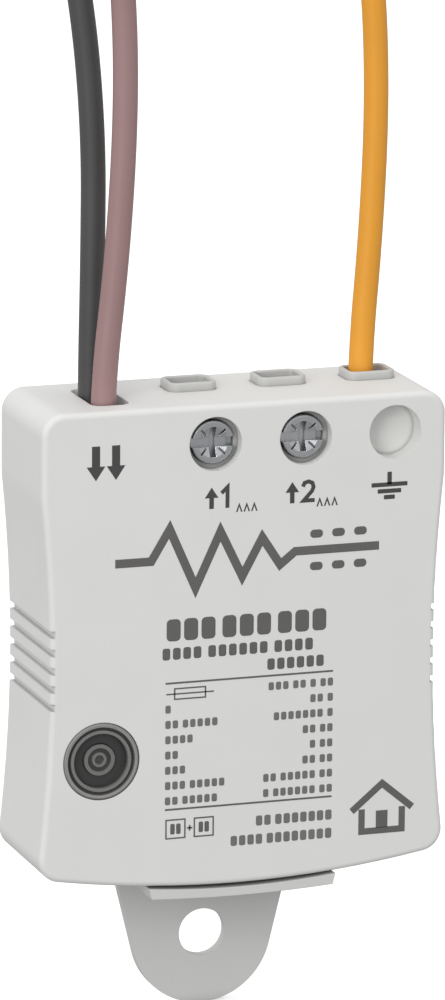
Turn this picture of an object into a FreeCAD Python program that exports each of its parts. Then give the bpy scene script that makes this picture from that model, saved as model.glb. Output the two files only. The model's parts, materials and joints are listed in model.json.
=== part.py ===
import FreeCAD, Part
import math
import os
from types import SimpleNamespace

import Sketcher
from FreeCAD import Placement, Rotation, Vector

# Surge protector module for a house's main panel, in millimetres.
# Origin: centre of the mounting lug's hole on the wall face. +X right, +Y into the wall, +Z up.
# The front face looks along -Y. The housing is a shell closed from behind by a plate; the lug and
# the flange below it carry on from the plate.

SIZES = [
    # housing, front view
    ("depth", 16.7, "wall face to front face"),
    ("half_width", 25.45, "straight upper part of the sides"),
    ("top_z", 70.0, "top face above the lug hole"),
    ("corner_r", 2.8, "rounded corners of the front view"),
    ("waist_half", 24.36, "half width at the narrowest place"),
    ("waist_z", 38.7, "height of the narrowest place"),
    ("waist_r", 200.0, "hollow curve of each side"),
    ("blend_r", 15.0, "blend between the straight part and the hollow curve"),
    ("belly_z", 10.5, "lowest place of the bottom face"),
    ("belly_r", 138.0, "curve of the bottom face"),
    ("wall", 1.5, "side, top and bottom walls"),
    ("front_wall", 1.6, "front wall"),
    ("edge_round", 0.7, "rounding round the front face"),
    ("groove_floor", 23.84, "centre line to the floor of a grip groove"),
    ("groove_top", 43.65, "upper edge of the top groove"),
    ("groove_high", 0.92, "height of a groove"),
    ("groove_pitch", 2.25, "groove to groove"),
    ("groove_count", 5, "grooves on each side"),
    ("cup_wall", 1.1, "wall round the blind recess, inside"),
    ("cup_floor", 1.2, "floor of the blind recess"),
    ("top_cut", 0.05, "openings in the top reach this far past the wall"),
    ("gate_high", 1.3, "gate for the lug, above the bottom wall"),
    # base, lug and flange
    ("plate_thick", 1.6, "back plate"),
    ("plate_gap", 0.1, "back plate to the inside of the walls"),
    ("lug_thick", 1.4, "lug"),
    ("lug_r", 9.0, "rounded end of the lug"),
    ("lug_hole_r", 3.0, "hole in the lug"),
    ("lug_root_half", 11.9, "half width where lug and flange meet"),
    ("lug_root_z", 10.75, "height where lug and flange meet"),
    ("flange_top_z", 10.12, "middle of the flange's upper face"),
    ("flange_low_z", 9.03, "middle of the flange's lower face"),
    ("flange_end_z", 9.4, "lower corners of the flange"),
    ("tap_deep", 0.6, "board screw holes reach this far into the plate"),
    # terminals: three on one pitch, the third holds the earth lead and has no screw
    ("terminal_z", 65.24, "height of the screws"),
    ("line_one_x", -3.85, "first output"),
    ("line_two_x", 7.55, "second output"),
    ("earth_x", 18.95, "earth"),
    ("entry_y", -6.15, "depth of the wire entries"),
    ("face_hole_r", 3.3, "screwdriver holes in the front face"),
    ("blank_deep", 2.8, "blind recess below the earth entry"),
    ("collar_half_x", 3.05, "collar round a wire entry, outside"),
    ("collar_half_y", 2.4, "collar, outside, front to back"),
    ("collar_wall", 0.6, "collar wall"),
    ("collar_r", 1.2, "collar corners, outside"),
    ("collar_z", 71.05, "rim of the collars"),
    ("block_half", 4.9, "half width of a terminal block"),
    ("sleeve_half", 4.0, "half width of the earth sleeve"),
    ("block_front", 15.0, "terminal block, front face"),
    ("block_back", 2.6, "terminal block, open back"),
    ("block_low_z", 60.4, "terminal block, underside"),
    ("block_top_z", 68.45, "terminal block, top"),
    ("channel_half", 3.1, "cage channel in the block"),
    ("channel_low_z", 62.5, "cage channel, floor"),
    ("channel_top_z", 67.9, "cage channel, roof"),
    ("plate_behind", 1.3, "block wall that the screw head bears on"),
    ("collar_root", 0.2, "collar's overlap with its block"),
    ("collar_soft", 0.24, "rounded rim of a collar"),
    ("seat_play", 0.08, "radial play round the screw head"),
    ("seat_wall", 0.9, "wall between the head's seat and the channel, cut for the shank"),
    ("screw_head_r", 2.68, "clamp screw head"),
    ("screw_head_y", 15.7, "front of the screw head"),
    ("screw_seat_y", 14.5, "back of the screw head"),
    ("screw_tip_y", 9.2, "tip of the clamp screw"),
    ("screw_r", 1.75, "clamp screw thread"),
    ("slot_half", 0.6, "half width of the clamp screw's slot"),
    ("slot_deep", 0.75, "depth of the slot"),
    ("notch_near", 1.8, "deeper end of the slot, from the middle to the rim"),
    ("notch_deep", 1.1, "depth of that end"),
    ("dish_r", 1.9, "faceted dish round the star recess"),
    ("dish_low_r", 0.35, "floor of the dish"),
    ("dish_deep", 0.7, "depth of the dish"),
    ("arm_half", 0.38, "half width of the star's upright arm"),
    ("arm_reach", 1.85, "reach of the upright arm from the middle"),
    ("arm_deep", 1.0, "depth of the upright arm"),
    ("tick_near", 1.1, "inner ends of the four slanted grooves"),
    ("tick_far", 2.15, "outer ends of the slanted grooves"),
    ("tick_wide", 0.24, "width of a slanted groove"),
    ("tick_deep", 0.5, "depth of a slanted groove"),
    ("head_round", 0.25, "rounded rim of the clamp screw's head"),
    ("point_high", 0.5, "bevelled tip of the clamp screw"),
    ("overlap", 0.2, "joined solids reach this far into each other"),
    ("running_fit", 0.05, "radial play of the clamp screw"),
    ("cage_half", 2.9, "clamp cage, half width"),
    ("cage_side", 0.8, "clamp cage, side walls"),
    ("cage_front", 10.5, "clamp cage, front, when open"),
    ("cage_nut", 1.2, "clamp cage, threaded wall"),
    ("cage_floor", 1.0, "clamp cage, wall that lifts the wire"),
    ("cage_back", 3.2, "clamp cage, back, when open"),
    ("cage_half_z", 2.5, "clamp cage, half height"),
    ("cage_round", 0.35, "clamp cage, upright edges"),
    ("bar_half", 1.95, "contact bar, half width"),
    ("bar_front", 9.0, "contact bar, front"),
    ("bar_thick", 0.9, "contact bar"),
    ("bar_top_z", 67.7, "contact bar, upper end"),
    ("bar_foot_z", 58.1, "contact bar, underside of the foot"),
    ("bar_play", 0.05, "play round the contact bar in the block"),
    ("tail_half", 0.8, "contact bar, half width of the tail in the board"),
    ("tail_root", 0.5, "contact bar, tail's overlap with the foot"),
    ("tail_play", 0.1, "play round the tail in the board"),
    ("sleeve_low_z", 61.5, "earth sleeve, underside"),
    ("sleeve_front", 9.55, "earth sleeve, front"),
    ("sleeve_back", 2.8, "earth sleeve, back"),
    ("sleeve_cup", 2.4, "earth sleeve, wide part of the hollow"),
    # supply side
    ("supply_x", -15.73, "middle of the supply opening"),
    ("supply_half_x", 2.38, "supply opening"),
    ("supply_half_y", 5.0, "supply opening, front to back"),
    ("supply_r", 1.3, "supply opening, corners"),
    ("lead_d", 3.0, "insulated lead"),
    ("lead_x", -16.5, "supply leads, where they enter"),
    ("black_y", -6.9, "black lead, where it enters"),
    ("brown_y", -11.5, "brown lead, where it enters"),
    ("earth_lead_x", 18.05, "earth lead, where it enters"),
    ("core_d", 1.6, "stranded copper core"),
    ("lead_start_z", 60.2, "end of the insulation, inside"),
    ("tip_long", 8.0, "stripped end of a lead"),
    ("comb_left_x", -19.4, "comb that holds the supply leads"),
    ("comb_right_x", -12.3, "comb"),
    ("comb_front", 14.8, "comb"),
    ("comb_back", 3.0, "comb"),
    ("comb_low_z", 60.5, "comb"),
    ("comb_top_z", 64.8, "comb"),
    # indicator
    ("lamp_x", -18.03, "indicator"),
    ("lamp_z", 27.2, "indicator"),
    ("lamp_bore_r", 4.8, "seat of the bezel's lip in the front wall"),
    ("lamp_seat", 0.9, "depth of that seat"),
    ("lamp_barrel_r", 4.35, "hole behind the seat"),
    ("clip_gap", 0.05, "spring clip behind the front wall"),
    ("clip_thick", 0.6, "spring clip"),
    ("clip_wide", 0.6, "spring clip, beyond the hole"),
    ("clip_bite", 0.03, "spring clip, inside the hole's edge"),
    ("lamp_flange_r", 1.9, "status lamp, flange"),
    ("lamp_flange_thick", 0.95, "status lamp, flange"),
    ("lamp_lift", 0.05, "status lamp, above the board"),
    ("lamp_r", 1.5, "status lamp, dome"),
    ("lamp_high", 2.6, "status lamp, centre of the dome above the board"),
    ("lamp_stem", 2.0, "status lamp, straight part of the dome"),
    ("lamp_pin_pitch", 2.54, "status lamp, pin to pin"),
    ("lamp_pin_r", 0.25, "status lamp, pin"),
    # board and what it carries
    ("board_back", 3.2, "solder side of the board"),
    ("board_thick", 1.6, "board"),
    ("board_half", 22.4, "board, middle part"),
    ("board_low_z", 19.3, "board, middle part"),
    ("board_high_z", 54.3, "board, middle part"),
    ("tongue_half", 18.4, "board, upper and lower tongues"),
    ("tongue_low_z", 14.3, "board, lower tongue"),
    ("tongue_high_z", 60.0, "board, upper tongue"),
    ("pin_end", 2.7, "component pins end here, behind the board"),
    ("pin_play", 0.1, "radial play of a pin in the board"),
    ("varistor_r", 10.0, "varistor disc"),
    ("varistor_thick", 4.8, "varistor disc"),
    ("varistor_x", 10.6, "varistors, left and right of the middle"),
    ("varistor_z", 43.0, "varistors"),
    ("varistor_y", -7.8, "varistors"),
    ("fuse_r", 2.0, "thermal fuse"),
    ("fuse_long", 9.6, "thermal fuse"),
    ("fuse_y", -12.4, "thermal fuses lie on the varistors' front"),
    ("varistor_round", 1.4, "varistor, rounded coating"),
    ("varistor_pitch", 7.5, "varistor, wire to wire"),
    ("varistor_root", 1.5, "varistor, wire's start inside the disc"),
    ("varistor_leg", 3.0, "varistor, wire down to the bend"),
    ("varistor_wire_r", 0.4, "varistor wire"),
    ("fuse_nose", 1.6, "thermal fuse, cone at the upper end"),
    ("fuse_nose_r", 1.8, "thermal fuse, cone"),
    ("fuse_nose_tip_r", 0.5, "thermal fuse, tip of the cone"),
    ("fuse_leg", 6.5, "thermal fuse, wires run past the varistor's edge"),
    ("fuse_wire_r", 0.35, "thermal fuse wire"),
    ("tube_x", 10.5, "gas tube"),
    ("tube_y", -9.3, "gas tube"),
    ("tube_z", 23.5, "gas tube"),
    ("tube_r", 3.8, "gas tube, ceramic"),
    ("tube_half", 2.4, "gas tube, half length of the ceramic"),
    ("cap_r", 4.0, "gas tube, end caps"),
    ("cap_thick", 0.9, "gas tube, end caps"),
    ("cap_out", 3.0, "gas tube, middle to the outer face of a cap"),
    ("wire_root", 0.1, "wires start this far inside an axial part"),
    ("tube_leg", 2.4, "gas tube, wires out to the bends"),
    ("tube_wire_r", 0.4, "gas tube wire"),
    ("axial_lift", 0.15, "small axial parts, above the board"),
    ("axial_wire_r", 0.3, "small axial parts, wire"),
    ("resistor_x", -8.2, "resistors"),
    ("resistor_z", 26.2, "lower resistor"),
    ("resistor_pitch", 3.1, "resistor to resistor"),
    ("resistor_r", 1.2, "resistor"),
    ("resistor_long", 6.3, "resistor"),
    ("resistor_leg", 1.8, "resistor, wire out to the bend"),
    ("diode_x", 2.3, "diode"),
    ("diode_z", 29.4, "diode"),
    ("diode_r", 1.35, "diode"),
    ("diode_long", 5.2, "diode"),
    ("diode_leg", 1.6, "diode, wire out to the bend"),
    ("film_left_x", -8.5, "film capacitor"),
    ("film_right_x", 4.5, "film capacitor"),
    ("film_low_z", 17.0, "film capacitor"),
    ("film_top_z", 22.0, "film capacitor"),
    ("film_high", 8.9, "film capacitor, front above the board"),
    ("film_lift", 0.1, "film capacitor, back above the board"),
    ("film_round", 0.4, "film capacitor, edges"),
    ("film_pin_in", 1.5, "film capacitor, pins in from the ends"),
    ("film_pin_r", 0.3, "film capacitor, pins"),
    ("pin_root", 1.0, "film capacitor, pins reach this far into the case"),
    ("sheet_thick", 0.3, "insulating sheet"),
    ("sheet_lift", 0.05, "insulating sheet, above the plate"),
    ("sheet_low_z", 19.8, "insulating sheet"),
    ("sheet_high_z", 53.3, "insulating sheet"),
    # fasteners
    ("boss_r", 2.3, "screw bosses inside the cover"),
    ("boss_end", 1.65, "bosses end here, in front of the plate"),
    ("boss_top_x", 21.5, "upper bosses"),
    ("boss_top_z", 57.0, "upper bosses"),
    ("boss_low_x", 20.9, "lower bosses"),
    ("boss_low_z", 16.6, "lower bosses"),
    ("cover_screw_r", 1.1, "cover screw"),
    ("cover_screw_long", 8.5, "cover screw"),
    ("sunk_head_r", 2.2, "countersunk head of a cover screw"),
    ("stand_r", 2.3, "stand-offs under the board"),
    ("stand_x", 15.8, "lower stand-offs"),
    ("stand_low_z", 16.8, "lower stand-offs"),
    ("stand_top_z", 56.0, "upper stand-off"),
    ("board_screw_r", 0.95, "board screw"),
    ("screw_play", 0.1, "radial play of a cover screw in the base"),
    ("drill_play", 0.15, "radial play of a board screw in the board"),
    ("point_long", 0.9, "cover screw, point"),
    ("point_r", 0.2, "cover screw, end of the point"),
    ("sunk_below", 0.1, "countersunk heads end below the wall face"),
    ("cross_long", 2.4, "cover screw, cross recess"),
    ("cross_wide", 0.5, "cross recess, width of an arm"),
    ("cross_deep", 0.75, "cover screw, cross recess below the wall face"),
    ("pan_r", 1.9, "board screw, head"),
    ("pan_high", 1.1, "board screw, head"),
    ("pan_long", 3.0, "board screw, shank"),
    ("pan_cross_long", 2.2, "board screw, cross recess"),
    ("pan_cross_deep", 0.5, "board screw, cross recess"),
]

DISH_SIDES = 16  # facets of the dish in a clamp screw
SLANTS = (45, 135, 225, 315)  # directions of a clamp screw's slanted grooves
BEYOND = 1.0  # cutting tools reach this far past what they cut
SHAVE = 0.1  # short reach of a cutting tool past a face
NUDGE = 0.001  # keeps the face of a tool off the face of what it cuts
SAME = 1e-3  # two places closer than this are the same
DIAGONAL = math.sqrt(0.5)  # each leg of a unit step at 45 degrees

# Outlines of the indicator, turned about its axis: (radius, depth behind the front face).
BEZEL_OUTLINE = [
    (4.30, 3.80), (4.30, 0.90),  # barrel
    (4.72, 0.90), (4.72, 0.15), (4.52, -0.05), (4.22, 0.0),  # lip in its seat
    (4.17, 0.45), (3.85, 0.45),  # groove
    (3.80, 0.10), (3.42, 0.10),  # raised ring
    (3.22, 1.10), (2.00, 1.10), (2.00, 1.70),  # cup with the lens hole
    (3.60, 1.70), (3.60, 3.80),  # inside of the barrel
]
LENS_OUTLINE = [
    (0.00, 1.00), (0.50, 1.00), (0.56, 0.80), (0.92, 0.80),  # inner ring
    (1.00, 1.00), (1.38, 1.00), (1.45, 0.75), (1.94, 0.75),  # outer ring
    (1.94, 1.72), (3.50, 1.72), (3.50, 2.90),  # shoulder behind the bezel
    (1.50, 2.90), (1.50, 7.50), (0.00, 7.50),  # light guide
]

PIN_HOLES = []  # (x, z, radius) of every hole that the board needs, filled by the component makers
NODES = []  # the finished pieces, in the order they are made


# ---------------------------------------------------------------- sizes and expressions

class Size:
    """A length that knows its number and the spreadsheet expression behind it."""

    def __init__(self, text, number):
        self.text = text
        self.number = number

    @staticmethod
    def of(thing):
        return thing if isinstance(thing, Size) else Size(repr(float(thing)), float(thing))

    def __add__(self, other):
        other = Size.of(other)
        return Size("(%s + %s)" % (self.text, other.text), self.number + other.number)

    def __sub__(self, other):
        other = Size.of(other)
        return Size("(%s - %s)" % (self.text, other.text), self.number - other.number)

    def __mul__(self, factor):
        return Size("(%s * %r)" % (self.text, factor), self.number * factor)

    def __neg__(self):
        return self * -1


def make_sheet(doc):
    """Put the driving dimensions in a sheet, one named cell each."""
    sheet = doc.addObject("Spreadsheet::Sheet", "sizes")
    for row, (alias, number, note) in enumerate(SIZES, 1):
        sheet.set("A%d" % row, note)
        sheet.set("B%d" % row, str(number))
        sheet.setAlias("B%d" % row, alias)
    doc.recompute()
    return SimpleNamespace(**{a: Size("sizes." + a, float(sheet.get(a))) for a, _, _ in SIZES})


doc = FreeCAD.newDocument("surge_protector")
S = make_sheet(doc)


def bind(thing, **sizes):
    """Tie properties of a document object to the sheet."""
    for name, size in sizes.items():
        thing.setExpression(name, Size.of(size).text)


def put(thing, x=0.0, y=0.0, z=0.0, rotation=Rotation()):
    """Place an object, with its position tied to the sheet."""
    spot = [Size.of(c) for c in (x, y, z)]
    thing.Placement = Placement(Vector(*[c.number for c in spot]), rotation)
    for axis, c in zip("xyz", spot):
        thing.setExpression("Placement.Base." + axis, c.text)
    return thing


def node(thing, label):
    """Name a finished piece."""
    thing.Label = label
    NODES.append(thing)
    return thing


# ---------------------------------------------------------------- sketches and features

def sketch_on(body, role, offset=0.0):
    """Empty sketch on one of the body's own origin planes, moved along that plane's normal."""
    plane = next(f for f in body.Origin.OriginFeatures if f.Role == role)
    sketch = body.newObject("Sketcher::SketchObject", body.Label + "_sketch")
    sketch.AttachmentSupport = [(plane, "")]
    sketch.MapMode = "FlatFace"
    sketch.AttachmentOffset = Placement(Vector(0, 0, Size.of(offset).number), Rotation())
    sketch.setExpression(".AttachmentOffset.Base.z", Size.of(offset).text)
    return sketch


def hold(sketch, constraint, size):
    """Add a dimension to a sketch and tie it to the sheet."""
    index = sketch.addConstraint(constraint)
    sketch.setExpression("Constraints[%d]" % index, size.text)


def hold_point(sketch, edge, end, x, y):
    """Dimension one point of a sketch from the origin."""
    hold(sketch, Sketcher.Constraint("DistanceX", -1, 1, edge, end, x.number), x)
    hold(sketch, Sketcher.Constraint("DistanceY", -1, 1, edge, end, y.number), y)


def circle(sketch, x, y, radius):
    x, y, radius = Size.of(x), Size.of(y), Size.of(radius)
    shape = Part.Circle(Vector(x.number, y.number, 0), Vector(0, 0, 1), radius.number)
    edge = sketch.addGeometry(shape, False)
    hold(sketch, Sketcher.Constraint("Radius", edge, radius.number), radius)
    hold_point(sketch, edge, 3, x, y)


def rectangle(sketch, x0, x1, y0, y1):
    x0, x1, y0, y1 = [Size.of(s) for s in (x0, x1, y0, y1)]
    corners = [Vector(x.number, y.number, 0) for x, y in ((x0, y0), (x1, y0), (x1, y1), (x0, y1))]
    first = sketch.GeometryCount
    for a, b in zip(corners, corners[1:] + corners[:1]):
        sketch.addGeometry(Part.LineSegment(a, b), False)
    for i in range(4):
        sketch.addConstraint(Sketcher.Constraint("Coincident", first + i, 2, first + (i + 1) % 4, 1))
        sketch.addConstraint(Sketcher.Constraint("Vertical" if i % 2 else "Horizontal", first + i))
    hold_point(sketch, first, 1, x0, y0)
    hold_point(sketch, first + 2, 1, x1, y1)


def loop(sketch, edges):
    """Closed outline whose edges meet end to end."""
    for edge in edges:
        sketch.addGeometry(edge, False)


def pad(body, sketch, length, reverse=False):
    feature = body.newObject("PartDesign::Pad", body.Label + "_pad")
    feature.Profile = sketch
    feature.Reversed = reverse
    bind(feature, Length=length)
    doc.recompute()
    return feature


def pocket(body, sketch, length, reverse=False):
    """Cut a sketch into the body, and make sure that something was cut."""
    before = body.Shape.Volume
    feature = body.newObject("PartDesign::Pocket", body.Label + "_pocket")
    feature.Profile = sketch
    feature.Reversed = reverse
    bind(feature, Length=length)
    doc.recompute()
    if body.Shape.Volume > before - 0.01:
        raise RuntimeError("%s cuts nothing" % feature.Name)
    return feature


def round_edges(body, radius, keep):
    """Fillet the edges of the body for which keep(edge) is true."""
    base = body.Tip
    names = ["Edge%d" % i for i, e in enumerate(base.Shape.Edges, 1) if keep(e)]
    feature = body.newObject("PartDesign::Fillet", body.Label + "_fillet")
    feature.Base = (base, names)
    bind(feature, Radius=radius)
    doc.recompute()


def revolve(body, points):
    """Turn an outline of (radius, y) points about the Y axis."""
    sketch = sketch_on(body, "XY_Plane")
    corners = [Vector(r, y, 0) for r, y in points]
    loop(sketch, [Part.LineSegment(a, b) for a, b in zip(corners, corners[1:] + corners[:1])])
    feature = body.newObject("PartDesign::Revolution", body.Label + "_turn")
    feature.Profile = sketch
    feature.ReferenceAxis = (sketch, ["V_Axis"])
    feature.Angle = 360.0
    doc.recompute()


def new_body(label):
    body = doc.addObject("PartDesign::Body", label)
    return node(body, label)


# ---------------------------------------------------------------- primitives

ALONG = {
    "+X": Rotation(Vector(0, 0, 1), Vector(1, 0, 0)),
    "+Y": Rotation(Vector(0, 0, 1), Vector(0, 1, 0)),
    "+Z": Rotation(),
}


def box(x0, x1, y0, y1, z0, z1):
    x0, x1, y0, y1, z0, z1 = [Size.of(s) for s in (x0, x1, y0, y1, z0, z1)]
    thing = doc.addObject("Part::Box", "box")
    bind(thing, Length=x1 - x0, Width=y1 - y0, Height=z1 - z0)
    return put(thing, x0, y0, z0)


def rod(axis, x, y, z, radius, length):
    """Cylinder from a point along an axis."""
    thing = doc.addObject("Part::Cylinder", "rod")
    bind(thing, Radius=radius, Height=length)
    return put(thing, x, y, z, ALONG[axis])


def cone(axis, x, y, z, radius, far_radius, length):
    thing = doc.addObject("Part::Cone", "cone")
    bind(thing, Radius1=radius, Radius2=far_radius, Height=length)
    return put(thing, x, y, z, ALONG[axis])


def ball(x, y, z, radius):
    thing = doc.addObject("Part::Sphere", "ball")
    bind(thing, Radius=radius)
    return put(thing, x, y, z)


def join(*things):
    thing = doc.addObject("Part::MultiFuse", "join")
    thing.Shapes = list(things)
    thing.Refine = True
    return thing


def cut(base, *tools):
    thing = doc.addObject("Part::Cut", "cut")
    thing.Base = base
    thing.Tool = tools[0] if len(tools) == 1 else join(*tools)
    return thing


def group(*things):
    """Several alike solids that make one node."""
    thing = doc.addObject("Part::Compound", "group")
    thing.Links = list(things)
    return thing


def soften(thing, radius, keep):
    """Fillet some edges of a primitive or boolean."""
    doc.recompute()
    fillet = doc.addObject("Part::Fillet", "soft")
    fillet.Base = thing
    fillet.Edges = [(i, radius, radius) for i, e in enumerate(thing.Shape.Edges, 1) if keep(e)]
    return fillet


def leg(x, y, z, axis, side, reach, radius):
    """Component wire: from the part along X or Z, then a bend back through the board."""
    x, z, reach = Size.of(x), Size.of(z), Size.of(reach)
    end_x = x + reach * side if axis == "X" else x
    end_z = z + reach * side if axis == "Z" else z
    low_x = x if side > 0 else end_x
    low_z = z if side > 0 else end_z
    PIN_HOLES.append((end_x, end_z, radius + S.pin_play))
    return [
        rod("+" + axis, low_x, y, low_z, radius, reach),
        ball(end_x, y, end_z, radius),
        rod("+Y", end_x, y, end_z, radius, -S.pin_end - y),
    ]


# ---------------------------------------------------------------- housing

def meet(c1, r1, c2, r2, prefer):
    """Crossing of two circles on the side of the point prefer."""
    gap = c2 - c1
    along = (gap.Length ** 2 + r1 ** 2 - r2 ** 2) / (2 * gap.Length)
    foot = c1 + gap * (along / gap.Length)
    across = Vector(-gap.y, gap.x, 0) * (math.sqrt(r1 ** 2 - along ** 2) / gap.Length)
    return min((foot + across, foot - across), key=lambda p: p.distanceToPoint(prefer))


def on_circle(centre, towards, radius):
    """Point of a circle in the direction of another point."""
    return centre + (towards - centre).normalize() * radius


def mirror(point):
    return Vector(-point.x, point.y, 0)


def edge(*points):
    """Line through two points, or arc through three."""
    return Part.LineSegment(*points) if len(points) == 2 else Part.Arc(*points)


def outline(inset):
    """Front view of the housing, moved inwards by inset: round top corners, sides that stand
    straight and then sweep in to a waist, and a bottom that bulges down."""
    half = S.half_width.number - inset
    top = S.top_z.number - inset
    corner = S.corner_r.number - inset
    waist = Vector(S.waist_half.number + S.waist_r.number, S.waist_z.number, 0)
    waist_r = S.waist_r.number + inset
    belly = Vector(0, S.belly_z.number + S.belly_r.number, 0)
    belly_r = S.belly_r.number - inset

    shoulder = Vector(half - corner, top - corner, 0)
    blend_r = S.blend_r.number - inset
    blend = Vector(half - blend_r, 0, 0)
    blend.y = waist.y + math.sqrt((waist_r + blend_r) ** 2 - (waist.x - blend.x) ** 2)
    blend_top = blend + Vector(blend_r, 0, 0)
    blend_end = on_circle(blend, waist, blend_r)
    blend_mid = on_circle(blend, (blend_top + blend_end) * 0.5, blend_r)
    foot = meet(waist, waist_r + corner, belly, belly_r - corner, Vector(half, S.belly_z.number, 0))
    foot_side = on_circle(foot, waist, corner)
    foot_low = on_circle(belly, foot, belly_r)
    foot_mid = on_circle(foot, foot_side + foot_low - foot, corner)
    waist_mid = on_circle(waist, (blend_end + foot_side) * 0.5, waist_r)
    belly_low = Vector(0, belly.y - belly_r, 0)
    slant = corner * DIAGONAL

    right = [
        (shoulder + Vector(0, corner, 0), shoulder + Vector(slant, slant, 0),
         shoulder + Vector(corner, 0, 0)),
        (shoulder + Vector(corner, 0, 0), blend_top),
        (blend_top, blend_mid, blend_end),
        (blend_end, waist_mid, foot_side),
        (foot_side, foot_mid, foot_low),
    ]
    left = [tuple(mirror(p) for p in points) for points in right]
    across = [(mirror(right[0][0]), right[0][0]), (mirror(foot_low), belly_low, foot_low)]
    return [edge(*points) for points in right + left + across]


def rounded_rectangle(x, y, half_x, half_y, radius):
    """Edges of a rectangle with round corners."""
    edges = []
    turns = [(1, -1), (1, 1), (-1, 1), (-1, -1)]
    slant = radius * (1 - DIAGONAL)
    for i, (sx, sy) in enumerate(turns):
        corner = Vector(x + sx * half_x, y + sy * half_y, 0)
        along_x = corner - Vector(sx * radius, 0, 0)
        along_y = corner - Vector(0, sy * radius, 0)
        start, end = (along_x, along_y) if i % 2 == 0 else (along_y, along_x)
        edges.append(Part.Arc(start, corner - Vector(sx * slant, sy * slant, 0), end))
    for i in range(4):
        edges.append(Part.LineSegment(edges[i].EndPoint, edges[(i + 1) % 4].StartPoint))
    return edges


def boss_places():
    return [(x, z) for pair in ((S.boss_top_x, S.boss_top_z), (S.boss_low_x, S.boss_low_z))
            for x, z in (pair, (-pair[0], pair[1]))]


def stand_places():
    return [(S.stand_x, S.stand_low_z), (-S.stand_x, S.stand_low_z), (Size.of(0), S.stand_top_z)]


def make_front_cover():
    """Shell: front, sides, top and bottom in one moulding, open at the back."""
    body = new_body("front_cover")
    shell = sketch_on(body, "XZ_Plane")
    loop(shell, outline(0.0))
    pad(body, shell, S.depth)
    front = -S.depth.number
    round_edges(body, S.edge_round, lambda e: abs(e.BoundBox.YMax - front) < SAME)

    hollow = sketch_on(body, "XZ_Plane")
    loop(hollow, outline(S.wall.number))
    inside = S.depth - S.front_wall
    pocket(body, hollow, inside, reverse=True)

    bosses = sketch_on(body, "XZ_Plane", inside)
    for x, z in boss_places():
        circle(bosses, x, z, S.boss_r)
    pad(body, bosses, inside - S.boss_end, reverse=True)
    bores = sketch_on(body, "XZ_Plane", S.boss_end)
    for x, z in boss_places():
        circle(bores, x, z, S.cover_screw_r + S.running_fit)
    pocket(body, bores, S.cover_screw_long, reverse=True)

    cup = sketch_on(body, "XZ_Plane", inside)
    circle(cup, S.earth_x, S.terminal_z, S.face_hole_r + S.cup_wall)
    pad(body, cup, S.blank_deep - S.front_wall + S.cup_floor, reverse=True)
    blank = sketch_on(body, "XZ_Plane", S.depth)
    circle(blank, S.earth_x, S.terminal_z, S.face_hole_r)
    pocket(body, blank, S.blank_deep)

    holes = sketch_on(body, "XZ_Plane", S.depth)
    circle(holes, S.line_one_x, S.terminal_z, S.face_hole_r)
    circle(holes, S.line_two_x, S.terminal_z, S.face_hole_r)
    circle(holes, S.lamp_x, S.lamp_z, S.lamp_barrel_r)
    pocket(body, holes, S.front_wall + SHAVE)
    seat = sketch_on(body, "XZ_Plane", S.depth)
    circle(seat, S.lamp_x, S.lamp_z, S.lamp_bore_r)
    pocket(body, seat, S.lamp_seat)

    top = sketch_on(body, "XY_Plane", S.top_z)
    middle = -S.depth.number / 2
    loop(top, rounded_rectangle(S.supply_x.number, middle, S.supply_half_x.number,
                                S.supply_half_y.number, S.supply_r.number))
    for x in (S.line_one_x, S.line_two_x, S.earth_x):
        loop(top, rounded_rectangle(x.number, S.entry_y.number,
                                    S.collar_half_x.number + S.running_fit.number,
                                    S.collar_half_y.number + S.running_fit.number,
                                    S.collar_r.number + S.running_fit.number))
    pocket(body, top, S.wall + S.top_cut)

    grip = sketch_on(body, "XZ_Plane")
    outer = S.half_width + BEYOND
    rectangle(grip, S.groove_floor, outer, S.groove_top - S.groove_high, S.groove_top)
    rectangle(grip, -outer, -S.groove_floor, S.groove_top - S.groove_high, S.groove_top)
    groove = pocket(body, grip, S.depth + BEYOND, reverse=True)
    rows = body.newObject("PartDesign::LinearPattern", "grip_rows")
    rows.Originals = [groove]
    rows.Direction = (grip, ["V_Axis"])
    rows.Reversed = True
    rows.Occurrences = int(S.groove_count.number)
    bind(rows, Length=S.groove_pitch * (S.groove_count.number - 1))
    body.Tip = rows
    doc.recompute()

    gate = sketch_on(body, "XZ_Plane")
    side = S.lug_root_half + S.plate_gap
    rectangle(gate, -side, side, S.belly_z - BEYOND, S.belly_z + S.wall + S.gate_high)
    pocket(body, gate, S.lug_thick + S.plate_gap, reverse=True)


def lug_corners():
    """Right-hand corners of the lug: where it leaves the flange, and where its round end starts."""
    root = Vector(S.lug_root_half.number, S.lug_root_z.number, 0)
    radius = S.lug_r.number
    angle = math.atan2(root.y, root.x) - math.acos(radius / root.Length)
    return root, Vector(math.cos(angle), math.sin(angle), 0) * radius


def make_mounting_lug():
    """Lug with the fixing hole; its upper end meets the back plate's curved lower edge."""
    body = new_body("mounting_lug")
    root, tangent = lug_corners()
    middle_z = S.belly_z.number + S.belly_r.number
    plate_r = S.belly_r.number - S.wall.number - S.plate_gap.number
    high = Vector(root.x, middle_z - math.sqrt(plate_r ** 2 - root.x ** 2), 0)
    lug = sketch_on(body, "XZ_Plane")
    loop(lug, [
        Part.Arc(mirror(high), Vector(0, middle_z - plate_r, 0), high),
        Part.LineSegment(high, root),
        Part.LineSegment(root, tangent),
        Part.Arc(tangent, Vector(0, -S.lug_r.number, 0), mirror(tangent)),
        Part.LineSegment(mirror(tangent), mirror(root)),
        Part.LineSegment(mirror(root), mirror(high)),
    ])
    pad(body, lug, S.lug_thick)
    eye = sketch_on(body, "XZ_Plane")
    circle(eye, 0, 0, S.lug_hole_r)
    pocket(body, eye, S.lug_thick, reverse=True)


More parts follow.
